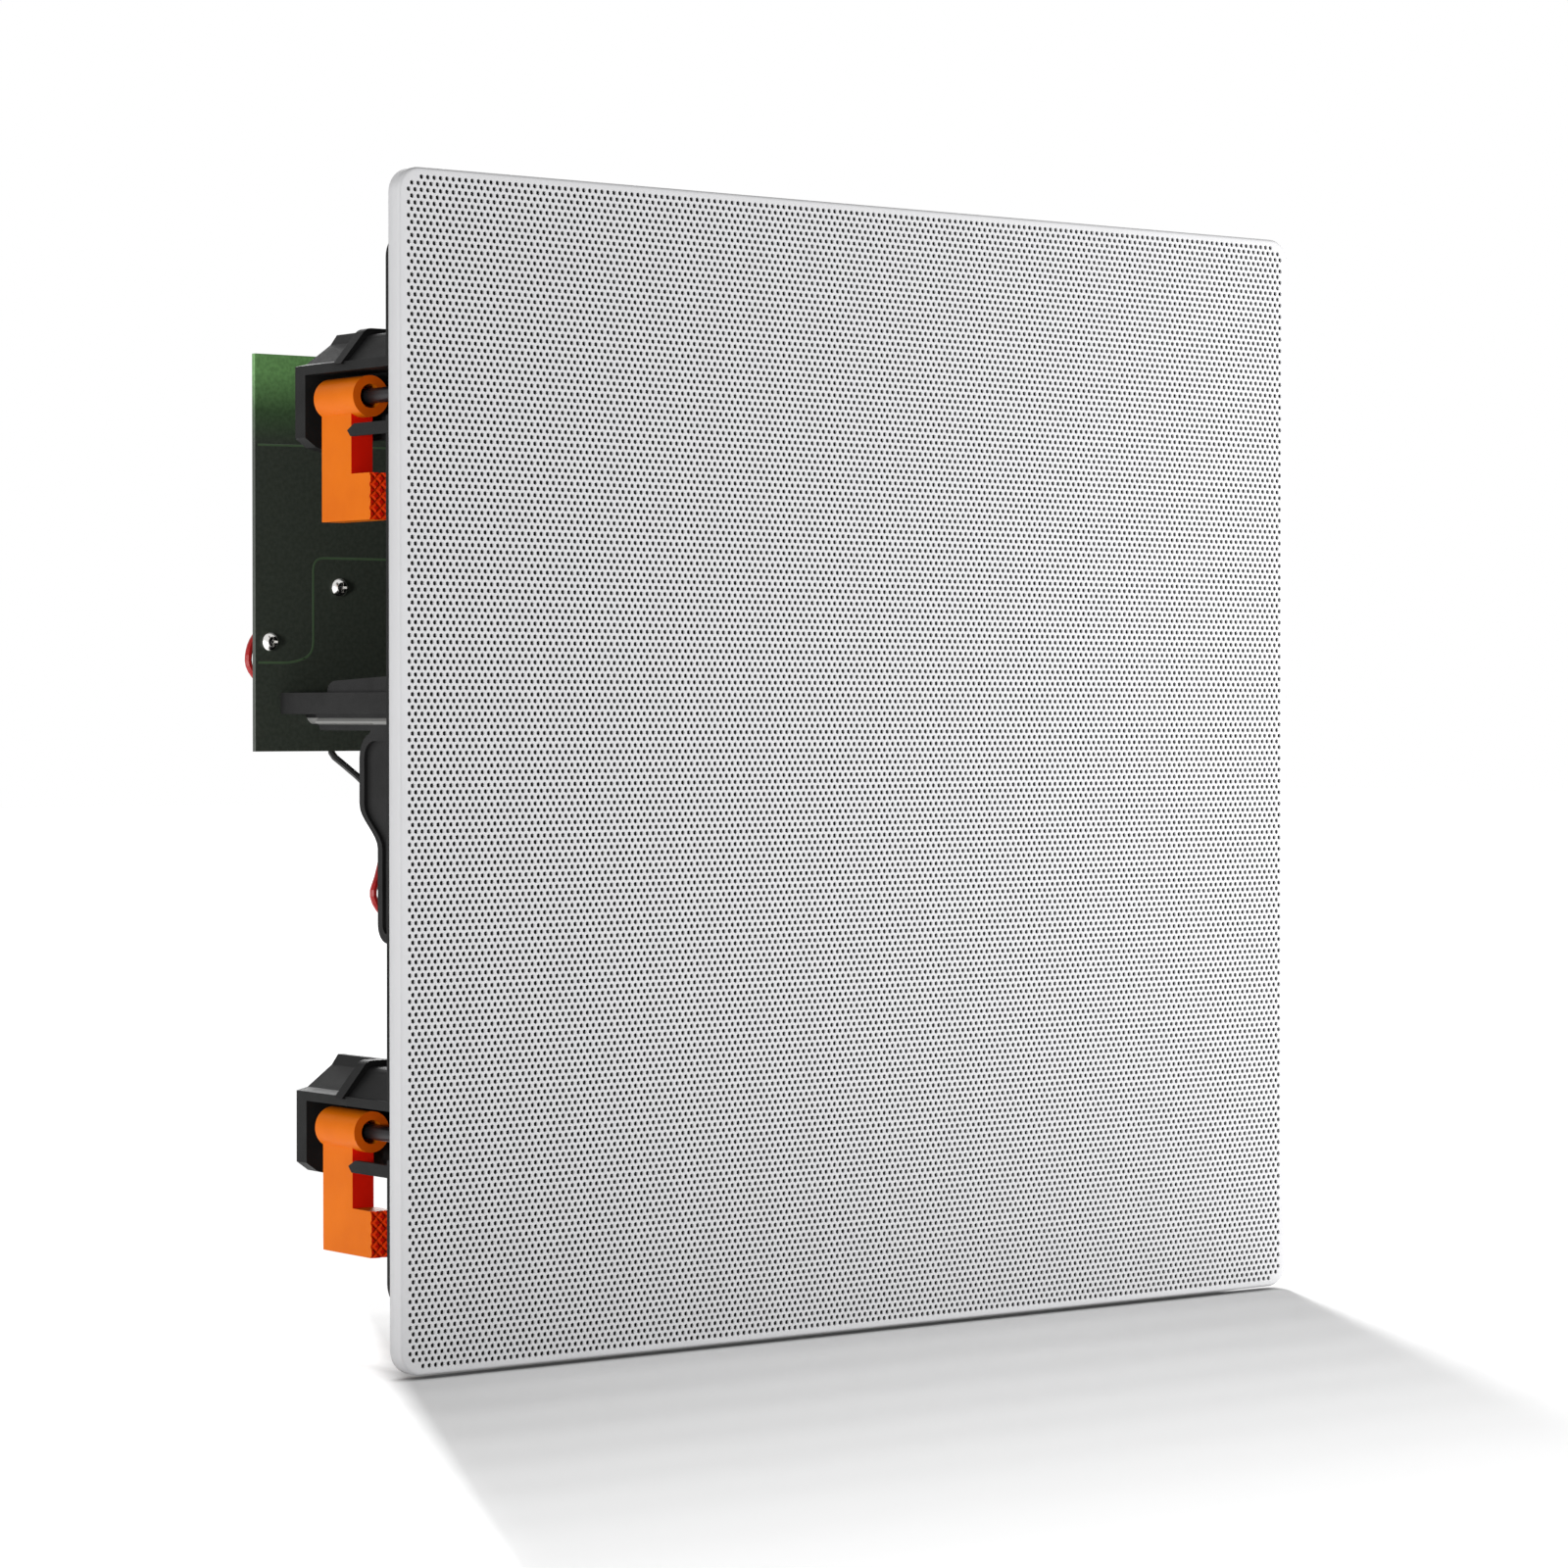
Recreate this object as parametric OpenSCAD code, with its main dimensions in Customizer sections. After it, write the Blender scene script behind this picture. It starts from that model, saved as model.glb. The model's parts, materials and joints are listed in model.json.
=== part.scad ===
// Square flush-mount loudspeaker: perforated grille, moulded frame with four swing-out
// clamps, a two-way driver and a circuit board carried on a bracket behind it.
// X runs along the wall, Z up it and Y into it. The wall's surface is the plane y = 0.

/* [Grille] */
// Width and height of the square grille
panel_w = 310; // [300:1:360]
// How far the grille stands out from the wall
rim_depth = 5.3; // [5:0.1:9]
// Thickness of the grille's sheet
sheet_t = 0.8; // [0.6:0.1:1.2]
// Outer radius of the grille's corners
corner_r = 6.5; // [3:0.5:15]
// Distance between neighbouring grille holes
hole_pitch = 12.5; // [11:0.5:25]
// Diameter of a grille hole
hole_d = 7.6; // [4:0.2:9]
// Plain border round the field of holes
hole_border = 3; // [2:0.5:12]
// Thickness of the cloth behind the grille
scrim_t = 0.4; // [0.3:0.1:0.6]
// Diameter of a holding magnet
holder_d = 10; // [6:1:12]
// Thickness of a holding magnet
holder_t = 3; // [2:0.5:3.5]

/* [Frame] */
// Distance from the grille's edge in to the tub that passes through the cut-out
tub_inset = 12.5; // [11:0.1:16]
// Wall thickness of the tub
tub_wall = 2.8; // [2:0.1:4]
// Depth of the tub behind the wall's surface
tub_depth = 21; // [20:0.5:24]
// Thickness of the flange that lies on the wall
flange_t = 3.2; // [2.6:0.1:3.6]
// Depth of the front of the baffle that carries the driver
baffle_y = 16; // [14:0.5:17]
// Thickness of the baffle
baffle_t = 3; // [2:0.25:4]
// Height of the ribs behind the baffle
rib_h = 6; // [3:0.5:10]
// Thickness of a rib
rib_t = 2; // [1.5:0.25:3]

/* [Clamps] */
// Distance from the tub's upper or lower face to a clamp's screw
clamp_drop = 44.9; // [40:0.1:56]
// How far the left-hand pair of clamps sits above the middle
clamp_shift = 1.6; // [0:0.1:4]
// Distance from the tub's outer face in to a clamp's screw
clamp_inset = 4.8; // [4.6:0.1:6]
// Depth of the back of a clamp's bay
bay_depth = 67; // [62:1:80]
// Thickness of the bay's back wall
bay_back_t = 5.2; // [3:0.1:7]
// Thickness of the bay's other walls
bay_wall = 2.5; // [2:0.1:3.5]
// Height of the bay's roof above the screw
roof_z = 6.8; // [6:0.1:9]
// Radius of a clamp screw's shank
screw_r = 2; // [1.5:0.05:2.5]
// Diameter of the swing-out dog's barrel
barrel_d = 11; // [9:0.1:12]
// Length of the dog's barrel
barrel_len = 20; // [16:0.1:21]
// Distance from the bay's back wall to the barrel
barrel_gap = 5.6; // [3:0.1:8]
// Width of the dog's leg and foot
dog_w = 6.6; // [5:0.1:7]
// Reach of the dog from its screw to its tip
dog_reach = 32.9; // [26:0.1:36]
// Depth of the dog's leg
leg_depth = 15; // [10:0.1:18]
// Overall depth of the dog's foot
foot_depth = 24.6; // [18:0.1:30]
// Height of the dog's foot
foot_h = 12.4; // [8:0.1:16]

/* [Driver] */
// Distance from the grille's edge in to the driver's basket
woofer_inset = 51; // [48:0.5:57]
// Depth of the basket's spider seat
spider_y = 43.5; // [40:0.5:46]
// Depth of the back of the basket
basket_y = 55; // [52:0.5:60]
// Radius of the voice coil's former
coil_r = 17; // [14:0.5:20]
// Radius of the magnet
magnet_r = 51; // [44:1:56]
// Thickness of the magnet
magnet_t = 15; // [10:1:17]
// Thickness of the magnet's two steel plates
plate_t = 5; // [4:0.5:6]
// Number of screws that hold the basket
woofer_screws_n = 8; // [4:2:8]

/* [Tweeter] */
// Width of the bridge across the driver
bridge_w = 18; // [14:1:26]
// Thickness of the bridge
bridge_t = 4; // [3:0.25:4.5]
// Diameter of the tweeter's cup
tweeter_d = 41; // [36:1:46]
// Depth of the tweeter's cup
tweeter_len = 20; // [14:1:22]

/* [Circuit board] */
// Width of the board
board_w = 130; // [100:1:140]
// Height of the board
board_h = 110.2; // [90:0.2:112]
// Thickness of the board
board_t = 1.6; // [1:0.1:2.4]
// Depth of the front of the board
board_y = 101.2; // [96:0.1:110]
// Height of the board's lower edge above the middle
board_z = 4.5; // [2:0.1:8]
// Distance from the grille's left edge to the board
board_inset = 20; // [18:0.5:30]

/* [Bracket] */
// Distance from the grille's left edge to the bracket
bracket_inset = 24.6; // [22:0.1:30]
// Wall thickness of the bracket
bracket_t = 4; // [3:0.25:6]
// Height of the underside of the bracket's shelf
shelf_z = 10.5; // [8.5:0.1:11]
// Height of the edge of the shelf
shelf_h = 10.3; // [8:0.1:12]
// Radius of the shelf's back corner
shelf_r = 8; // [4:0.5:12]
// Diameter of the leads
lead_d = 2; // [1.2:0.1:2.4]

/* [Hidden] */
$fn = 64;

// Clearances
grille_clear = 0.4;
soft_gap = 0.3;
run_clear = 0.05;
fit_clear = 0.1;
foot_clear = 0.2;
over = 1;

// Small screws
small_r = 1.5;
small_head_r = 2.8;
small_head_t = 2;
boss_r = 4;

// Grille and frame
tub_w = panel_w - 2 * tub_inset;
tub_in = tub_w - 2 * tub_wall;
tub_corner = 8;
flange_w = panel_w - 2 * sheet_t - 2 * grille_clear;
scrim_y = -rim_depth + sheet_t + fit_clear;
holder_y = scrim_y + scrim_t + foot_clear;
holder_at = (flange_w + tub_in) / 4;
holder_spread = panel_w * 0.19;
row_pitch = hole_pitch * sqrt(3) / 2;
baffle_back = baffle_y + baffle_t;

// Clamps, measured from the screw's axis with the outside of the tub at low x
clamp_x = tub_w / 2 - clamp_inset;
clamp_rise = tub_w / 2 - clamp_drop;
bay_front = 8;
screw_head_r = 3.7;
screw_head_t = 3;
head_y = bay_front - bay_wall - screw_head_t;
back_in = bay_depth - bay_back_t;
barrel_y = back_in - barrel_gap - barrel_len;
bore_r = screw_r + 1.2;
bore_depth = 6;
dog_back = barrel_y + barrel_len - 0.5;
bay_in = dog_w / 2 + 4.2;
bay_out = bay_in + bay_wall;
bay_low = -11;
pocket_z = -dog_reach - 1.6;
fin_t = clamp_inset - dog_w / 2 - foot_clear;
fin_z = -10.7;
fin_h = 3.3;
fin_end = dog_back - leg_depth - soft_gap;
swing_z = barrel_d / 2 + 0.5;
roof_edge = roof_z + bay_wall;
roof_top = roof_edge + 8.2;
rib_y = 42;
rib_len = 4;
ledge_w = 3.5;
knurl_pitch = 2.2;
knurl_depth = 0.8;

// Driver
gasket_t = 1;
basket_flange_t = 3;
woofer_r = panel_w / 2 - woofer_inset;
basket_front = baffle_y - gasket_t - basket_flange_t;
hole_r = woofer_r - 11;
throat_r = hole_r - 1;
seat_r = magnet_r + 15;
seat_t = 3;
can_r = seat_r - 5;
woofer_screw_r = woofer_r - 3.8;
surround_r = woofer_screw_r - 3.4;
surround_t = 0.6;
roll_r = 5;
roll_mid = surround_r - 2 - roll_r - surround_t;
cone_r = roll_mid - roll_r - surround_t - soft_gap - 1.5;
neck_y = spider_y - 3.5;
neck_len = 6;
top_y = basket_y;
magnet_y = top_y + plate_t;
back_plate_y = magnet_y + magnet_t;
driver_back = back_plate_y + plate_t;
gap_out = coil_r + 1.3;
pole_r = coil_r - 1.2;

// Terminals on the side of the basket
strip_a = 30;
strip_w = 22;
strip_t = 1.6;
tab_angles = [26, 34];
tab_r = seat_r + 14;
tab_w = 6.2;
tab_t = 0.8;
tab_back = spider_y + seat_t + 9.5;

// Tweeter
bridge_y = -2.2;
bridge_back = bridge_y + bridge_t;
bridge_end = woofer_r + 8;
bridge_screw_z = bridge_end - 4;
hub_r = tweeter_d / 2 + 3;
hub_len = 9;
cup_back = bridge_y + tweeter_len;
lead_hole = [bridge_w / 2 + 2.5, bridge_end + 6.5];

// Board and bracket
left_x = -panel_w / 2;
board_x = left_x + board_inset;
board_back = board_y + board_t;
bracket_x = left_x + bracket_inset;
shelf_top = shelf_z + shelf_h;
band_z = shelf_z + 4.4;
shelf_in = -magnet_r - 11.4;
skirt_end = 79;
mast_x = board_x + board_w * 0.392;
mast_z = board_z + board_h - 14.7;
post_xs = [board_x + 20, board_x + board_w * 0.515];
post_z = shelf_z + shelf_h / 2;
post_len = 12;
shelf_end = post_xs[1] + 10.6;
block_x = board_x + 13;
block_z = board_z + 25.5;
block_w = 24;
block_h = 28;
block_d = 13;
block_screw_at = [[block_x - 8.4, block_z + 4.9], [block_x + 14, block_z + 20.3]];
arm_low = -46.4;
arm_back = 54.1;
arm_waist = 44.9;
arm_slope = [-21, -9.5];
arm_steps = 8;
arm_edge = 2.4;
recess = 1;
upright_back = 72.3;
upright_top = 26;
foot_w = 18;
foot_screw_x = bracket_x + 12.5;
foot_screw_z = [-34, 2];

// Parts on the board
large_coil_r = 20;
large_coil_len = 20;
small_coil_r = 14;
small_coil_len = 15;
cap_r = [8, 7];
cap_len = [30, 26];
resistor = [25, 9, 9];

// Routes of the leads: each runs between two ends, with its own offsets on the way
function between(a, b, steps) = [for (s = steps) a + s[0] * (b - a) + [s[1], s[2], s[3]]];
tab_ends = [for (a = tab_angles) [-tab_r * cos(a), tab_back + 1, -tab_r * sin(a)]];
black_from = [board_x + 28, board_back + 1.8, board_z + 8.5];
black_route = between(black_from, tab_ends[1], [[0, 0, 0, 0], [0, -0.3, 0.6, -4], [0, -1.3, 0.2, -9],
    [0.12, -4.8, 1, -5.7], [0.3, -11, 0, -0.6], [0.5, -12, -1.5, -2], [0.75, -7, -2, -2], [1, 0, 0, 0]]);
red_from = [board_x + 47, board_back + 1.8, board_z + 6.5];
red_side = [bracket_x + 8, 60, shelf_z - 45];
red_route = concat(between(red_from, red_side, [[0, 0, 0, 0], [0, 0, 1.2, -5], [0.1, 1, 3, -5],
    [0.4, 14, 3, 4], [0.7, 2, -3, 4], [0.95, 0.5, -1, 3], [1, 0, 0, 0]]),
    between(red_side, tab_ends[0], [[0.04, 1.4, 0, -5], [0.2, 1, 0, -8], [0.5, 0, 0.5, -7], [0.8, 0, 0.5, -3],
        [1, 0, 0, 0]]));
input_from = [block_x - 0.4, board_back + 5.2, block_z + 11];
input_route = [for (p = [[0, 0, 0], [-5, 0.4, -2], [-8.8, 0, -4.6], [-11.2, -1, -8.4], [-11.4, -1.2, -12.6],
    [-9.2, -2, -16.2], [-6, -3, -18.4], [-3, -3.4, -19]]) input_from + p];
board_edge = [board_x + board_w, board_back, board_z + board_h - 16.7];
hole_back = [lead_hole[0], baffle_back + 15, lead_hole[1]];
bridge_lead_y = bridge_back + 1.4;
tweeter_route = concat(between(board_edge, hole_back, [[0, -7, 1.8, 0], [0, -1, 3.6, 1], [0.04, 3, 1.5, 2],
        [0.2, 2, 0, 2], [0.6, 1, 0, 2], [1, 0, 0, 0]]),
    [[lead_hole[0], baffle_y - 4, lead_hole[1]], [lead_hole[0], bridge_lead_y + 3.2, bridge_end + 4.5],
        [lead_hole[0] - 0.2, bridge_lead_y + 0.4, bridge_end - 2],
        [bridge_w / 2 + 0.5, bridge_lead_y, bridge_end - 12], [6, bridge_lead_y, bridge_end - 26],
        [6, bridge_lead_y, (hub_r + bridge_end) / 2 - 8], [6, bridge_lead_y + 1.4, hub_r + 12.5],
        [6, 10, hub_r + 4.5], [5.6, cup_back - 1.8, hub_r + 2.5], [5, cup_back + 2.8, hub_r - 1.5],
        [4.4, cup_back + 3.6, hub_r - 7.5], [4, cup_back + 1.2, hub_r - 11.5]]);

// A flat shape drawn in x and z, given depth from y0 into the wall
module slab(y0, t) {
    translate([0, y0 + t, 0])
        rotate([90, 0, 0])
            linear_extrude(t)
                children();
}

// A flat shape drawn in y and z, given width from x0
module side_slab(x0, t) {
    translate([x0, 0, 0])
        rotate([90, 0, 90])
            linear_extrude(t)
                children();
}

// A solid of revolution or a cylinder whose axis runs into the wall
module into_wall(y0 = 0) {
    translate([0, y0, 0])
        rotate([-90, 0, 0])
            children();
}

module block(low, high) {
    translate(low)
        cube(high - low);
}

module rounded(w, h, r) {
    square([w - 2 * r, h], center = true);
    square([w, h - 2 * r], center = true);
    for (i = [-1, 1])
        for (j = [-1, 1])
            translate([i * (w / 2 - r), j * (h / 2 - r)])
                circle(r);
}

// Round screw with its head at low y and a cross recess
module pan_screw(x, z, y, head_r, head_t, shank_r, shank_len) {
    translate([x, y, z])
        rotate([-90, 0, 0])
            difference() {
                union() {
                    intersection() {
                        translate([0, 0, head_r * 1.15])
                            sphere(head_r * 1.18);
                        cylinder(h = head_t, r = head_r);
                    }
                    cylinder(h = head_t + shank_len, r = shank_r);
                }
                for (a = [0, 90])
                    rotate(a)
                        translate([-head_r * 0.55, -head_r * 0.12, -1])
                            cube([head_r * 1.1, head_r * 0.24, 1 + head_t * 0.55]);
            }
}

// The same screw put in from the back
module back_screw(x, z, y, head_r, head_t, shank_r, shank_len) {
    translate([x, y, z])
        rotate([0, 0, 180])
            pan_screw(0, 0, 0, head_r, head_t, shank_r, shank_len);
}

function clamp_z(i) = (i % 2 == 1 ? clamp_rise : -clamp_rise) + clamp_shift;

// Clamps 1 and 2 are on the left, 3 and 4 are the same pair turned half a turn
module at_clamp(i) {
    rotate([0, i > 2 ? 180 : 0, 0])
        translate([-clamp_x, 0, clamp_z(i)])
            children();
}

module at_holders() {
    for (a = [0 : 90 : 270])
        for (s = [-1, 1])
            rotate([0, a, 0])
                translate([holder_at, 0, s * holder_spread])
                    children();
}

module hole_field() {
    n_row = floor((panel_w - 2 * hole_border - hole_d) / row_pitch);
    n_col = floor((panel_w - 2 * hole_border - hole_d) / hole_pitch);
    for (j = [0 : n_row])
        for (i = [0 : n_col - j % 2])
            translate([(i - (n_col - j % 2) / 2) * hole_pitch, (j - n_row / 2) * row_pitch])
                circle(d = hole_d, $fn = 24);
}

module grille() {
    color([0.86, 0.86, 0.87])
        difference() {
            slab(-rim_depth, rim_depth - foot_clear) rounded(panel_w, panel_w, corner_r);
            slab(-rim_depth + sheet_t, rim_depth)
                rounded(panel_w - 2 * sheet_t, panel_w - 2 * sheet_t, corner_r - sheet_t);
            slab(-rim_depth - 1, sheet_t + 2) hole_field();
        }
}

module scrim() {
    scrim_w = panel_w - 2 * sheet_t - 2;
    color([0.08, 0.08, 0.08])
        slab(scrim_y, scrim_t) rounded(scrim_w, scrim_w, corner_r - sheet_t);
}

module grille_magnets() {
    color([0.75, 0.75, 0.77])
        at_holders()
            into_wall(holder_y) cylinder(h = holder_t, d = holder_d);
}

// Outline of the bay's sloped shoulder, in x and z
module shoulder() {
    polygon([[-clamp_inset, roof_z], [-clamp_inset, roof_edge], [-clamp_inset + ledge_w, roof_edge + 0.8],
        [bay_in - 1.2, roof_top - 1.8], [bay_in + 0.8, roof_top + over], [bay_out, roof_top + over],
        [bay_out, roof_z]]);
}

module bay_back() {
    polygon([[-clamp_inset, roof_z], [-clamp_inset, bay_low + 1], [-clamp_inset + ledge_w, bay_low - 1.5],
        [bay_in - 2, bay_low - 3], [bay_out, bay_low - 3], [bay_out, roof_z]]);
    shoulder();
}

// Rounded side of the housing in front of the shoulder, in x and z, grown by a step
module housing(step) {
    top = roof_top + step - 0.6;
    polygon(concat([[bay_in, roof_z], [0.6 - clamp_inset - step, roof_edge - 0.6]],
        [for (a = [0 : 15 : 60]) [bay_in - 3 - step / 2 - 3 * cos(a + 30), top - 3 + 3 * sin(a + 30)]],
        [[bay_out, top], [bay_out, roof_z]]));
}

module bay_solid() {
    block([-clamp_inset, bay_front - bay_wall, pocket_z - bay_wall], [bay_out, tub_depth, roof_edge]);
    block([-clamp_inset, tub_depth, roof_z], [bay_out, bay_depth, roof_edge]);
    block([bay_in, bay_front, bay_low], [bay_out, bay_depth, roof_top - over]);
    slab(tub_depth - over, rib_y - tub_depth + 2 * over) housing(0);
    slab(rib_y, rib_len) housing(1.6);
    slab(rib_y + rib_len - over, bay_depth - rib_y - rib_len + over) shoulder();
    slab(back_in, bay_back_t) bay_back();
    side_slab(-clamp_inset, fin_t)
        polygon([[tub_depth - over, fin_z], [fin_end - 1.6, fin_z], [fin_end, fin_z + fin_h / 2],
            [fin_end - 3.4, fin_z + fin_h], [tub_depth - over, fin_z + fin_h]]);
}

module bay_void() {
    block([-clamp_inset + fin_t, bay_front, pocket_z], [bay_in, back_in, roof_z]);
    block([-clamp_inset - over, bay_front, -swing_z], [bay_in, back_in, roof_z]);
    into_wall() cylinder(h = bay_depth + over, r = screw_r + run_clear);
    slab(rib_y + rib_len + 2, back_in - rib_y - rib_len - 2)
        polygon([[ledge_w, roof_edge + over], [bay_out + over, roof_edge + over],
            [bay_out + over, roof_top - 2]]);
    block([1.5, tub_depth + 2, roof_edge + over], [bay_out + over, rib_y - 2, roof_top - 3]);
    into_wall(-flange_t - over)
        cylinder(h = flange_t + over + bay_front - bay_wall, r = screw_head_r + grille_clear);
}

module baffle_ribs() {
    ring_r = hole_r + 3;
    into_wall(baffle_back)
        difference() {
            cylinder(h = rib_h, r = ring_r + rib_t);
            translate([0, 0, -1])
                cylinder(h = rib_h + 2, r = ring_r);
        }
    intersection() {
        for (a = [45 : 90 : 315])
            for (da = [-18, 0, 18])
                rotate([0, a + da, 0])
                    block([ring_r, baffle_back - 1, -rib_t / 2], [tub_w, tub_depth, rib_t / 2]);
        block([-tub_in / 2, 0, -tub_in / 2], [tub_in / 2, tub_depth, tub_in / 2]);
    }
}

module frame() {
    color([0.1, 0.1, 0.11])
        difference() {
            union() {
                slab(-flange_t, flange_t)
                    difference() {
                        rounded(flange_w, flange_w, corner_r - sheet_t - grille_clear);
                        rounded(tub_in, tub_in, tub_corner - 2);
                    }
                slab(-flange_t / 2, tub_depth + flange_t / 2)
                    difference() {
                        rounded(tub_w, tub_w, tub_corner);
                        rounded(tub_in, tub_in, tub_corner - 2);
                    }
                slab(baffle_y, baffle_t) rounded(tub_w - tub_wall, tub_w - tub_wall, tub_corner - 2);
                baffle_ribs();
                for (z = foot_screw_z)
                    translate([foot_screw_x, 0, z])
                        into_wall(baffle_y - 7) cylinder(h = 8, r = boss_r);
                for (i = [1 : 4])
                    at_clamp(i) bay_solid();
            }
            for (i = [1 : 4])
                at_clamp(i) bay_void();
            at_holders()
                into_wall(holder_y - 1) cylinder(h = holder_t + 1 + fit_clear, d = holder_d + 2 * fit_clear);
            into_wall(baffle_y - 1) cylinder(h = baffle_t + rib_h + 2, r = hole_r);
            at_woofer_screws() into_wall(baffle_y - 1) cylinder(h = baffle_t + 2, r = small_r + fit_clear);
            for (s = [-1, 1])
                translate([0, 0, s * bridge_screw_z])
                    into_wall(baffle_y - over) cylinder(h = baffle_t + rib_h, r = small_r + fit_clear);
            for (z = foot_screw_z)
                translate([foot_screw_x, 0, z])
                    into_wall(baffle_y - 6) cylinder(h = 12, r = small_r + fit_clear);
            translate([lead_hole[0], 0, lead_hole[1]])
                into_wall(baffle_y - 1) cylinder(h = baffle_t + rib_h, r = lead_d / 2 + 1.2);
        }
}

module clamp_screw(i) {
    color([0.07, 0.07, 0.07])
        at_clamp(i)
            pan_screw(0, 0, head_y, screw_head_r, screw_head_t, screw_r, bay_depth + 1 - bay_front + bay_wall);
}

// Crossed grooves in the face of the foot that grips the wall
module knurl() {
    for (a = [-45, 45])
        for (k = [-3 : 3])
            translate([0, dog_back - foot_depth, -dog_reach + foot_h / 2])
                rotate([0, a, 0])
                    translate([k * knurl_pitch, 0, 0])
                        rotate([0, 0, 45])
                            cube([knurl_depth, knurl_depth, 2 * foot_h], center = true);
}

module clamp_dog(i) {
    color([0.93, 0.42, 0.06])
        at_clamp(i)
            difference() {
                union() {
                    into_wall(barrel_y) cylinder(h = barrel_len, d = barrel_d);
                    block([-dog_w / 2, dog_back - leg_depth, -dog_reach], [dog_w / 2, dog_back, 0]);
                    block([-dog_w / 2, dog_back - foot_depth, -dog_reach],
                        [dog_w / 2, dog_back, -dog_reach + foot_h]);
                }
                into_wall(barrel_y - over) cylinder(h = barrel_len + 2 * over, r = screw_r + run_clear);
                into_wall(barrel_y - over) cylinder(h = bore_depth + over, r = bore_r);
                knurl();
            }
}

module at_woofer_screws() {
    for (k = [0 : woofer_screws_n - 1])
        rotate([0, (k + 0.5) * 360 / woofer_screws_n, 0])
            translate([woofer_screw_r, 0, 0])
                children();
}

module woofer_gasket() {
    color([0.15, 0.15, 0.15])
        difference() {
            into_wall(baffle_y - gasket_t)
                difference() {
                    cylinder(h = gasket_t, r = woofer_r - 0.5);
                    translate([0, 0, -1])
                        cylinder(h = gasket_t + 2, r = hole_r + 0.5);
                }
            at_woofer_screws() into_wall(baffle_y - 2) cylinder(h = 3, r = small_r + fit_clear);
        }
}

module woofer_basket() {
    front = basket_front;
    back = front + basket_flange_t;
    color([0.12, 0.12, 0.13])
        difference() {
            into_wall()
                rotate_extrude()
                    polygon([[throat_r - 4, front], [woofer_r, front], [woofer_r, back], [throat_r, back],
                        [seat_r + 5, spider_y + seat_t], [can_r + 2, spider_y + seat_t], [can_r, basket_y],
                        [coil_r + 9, basket_y], [coil_r + 9, basket_y - seat_t], [can_r - 3, basket_y - seat_t],
                        [can_r - 1, spider_y], [seat_r + 2, spider_y], [throat_r - 4, back - 1]]);
            for (k = [0 : 5])
                rotate([0, k * 60 + 10, 0])
                    into_wall()
                        rotate_extrude(angle = 40)
                            polygon([[throat_r + 5, back + 4], [throat_r - 12, back + 4],
                                [seat_r + 1, spider_y - 3], [seat_r + 12, spider_y - 3]]);
            at_woofer_screws() into_wall(front - 1) cylinder(h = 5, r = small_r + fit_clear);
        }
}

module woofer_cone() {
    color([0.1, 0.1, 0.11])
        into_wall()
            rotate_extrude()
                polygon([[coil_r + 0.3, neck_y - neck_len], [coil_r + 0.3, neck_y], [coil_r + 1.1, neck_y],
                    [coil_r + 1.5, neck_y - 3.4], [cone_r, basket_front + 0.6],
                    [cone_r + 1.5, basket_front - 0.2], [cone_r + 1.5, basket_front - 1],
                    [cone_r - 0.4, basket_front - 0.4], [coil_r + 3, neck_y - neck_len]]);
}

// Half roll that joins the cone to the basket's flange
module cone_surround() {
    edge_y = basket_front - soft_gap;
    color([0.07, 0.07, 0.07])
        into_wall()
            rotate_extrude()
                difference() {
                    union() {
                        translate([roll_mid, edge_y])
                            circle(roll_r + surround_t, $fn = 32);
                        translate([roll_mid, edge_y - surround_t])
                            square([surround_r - roll_mid, surround_t]);
                    }
                    translate([roll_mid, edge_y])
                        circle(roll_r, $fn = 32);
                    translate([roll_mid - 20, edge_y])
                        square([40, 20]);
                }
}

module dust_cap() {
    rim_r = coil_r + 5;
    cap_sphere = 34;
    drop = sqrt(cap_sphere * cap_sphere - rim_r * rim_r);
    slope = (neck_y - neck_len - basket_front + 0.4) / (cone_r - 0.4 - coil_r - 3);
    cap_y = neck_y - neck_len - slope * (rim_r - coil_r - 3) - soft_gap;
    color([0.09, 0.09, 0.1])
        into_wall()
            rotate_extrude()
                intersection() {
                    translate([0, cap_y + drop])
                        difference() {
                            circle(cap_sphere);
                            circle(cap_sphere - 0.6);
                        }
                    translate([0, cap_y - 20])
                        square([rim_r, 20]);
                }
}

// Corrugated ring that centres the voice coil
module spider() {
    waves = 5;
    inner = coil_r + 1.6;
    wave = (seat_r - 6 - inner) / waves;
    top = spider_y - soft_gap;
    color([0.75, 0.6, 0.3])
        into_wall()
            rotate_extrude()
                union() {
                    translate([seat_r - 6, top - 0.6])
                        square([6, 0.6]);
                    for (k = [0 : waves - 1])
                        polygon([[inner + k * wave, top - 0.6], [inner + (k + 0.5) * wave, top - 2.6],
                            [inner + (k + 1) * wave, top - 0.6], [inner + (k + 1) * wave, top],
                            [inner + (k + 0.5) * wave, top - 2], [inner + k * wave, top]]);
                }
}

module voice_coil() {
    color([0.75, 0.42, 0.2])
        into_wall()
            rotate_extrude()
                union() {
                    translate([coil_r - 0.3, neck_y - 5])
                        square([0.5, top_y + plate_t + 4 - neck_y + 5]);
                    translate([coil_r, top_y - 2])
                        square([0.7, plate_t + 5]);
                }
}

module top_plate() {
    color([0.6, 0.6, 0.62])
        into_wall(top_y)
            difference() {
                cylinder(h = plate_t, r = magnet_r - 3);
                translate([0, 0, -1])
                    cylinder(h = plate_t + 2, r = gap_out);
            }
}

module ring_magnet() {
    color([0.16, 0.16, 0.17])
        into_wall(magnet_y)
            difference() {
                cylinder(h = magnet_t, r = magnet_r);
                translate([0, 0, -1])
                    cylinder(h = magnet_t + 2, r = coil_r + 12);
            }
}

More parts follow.
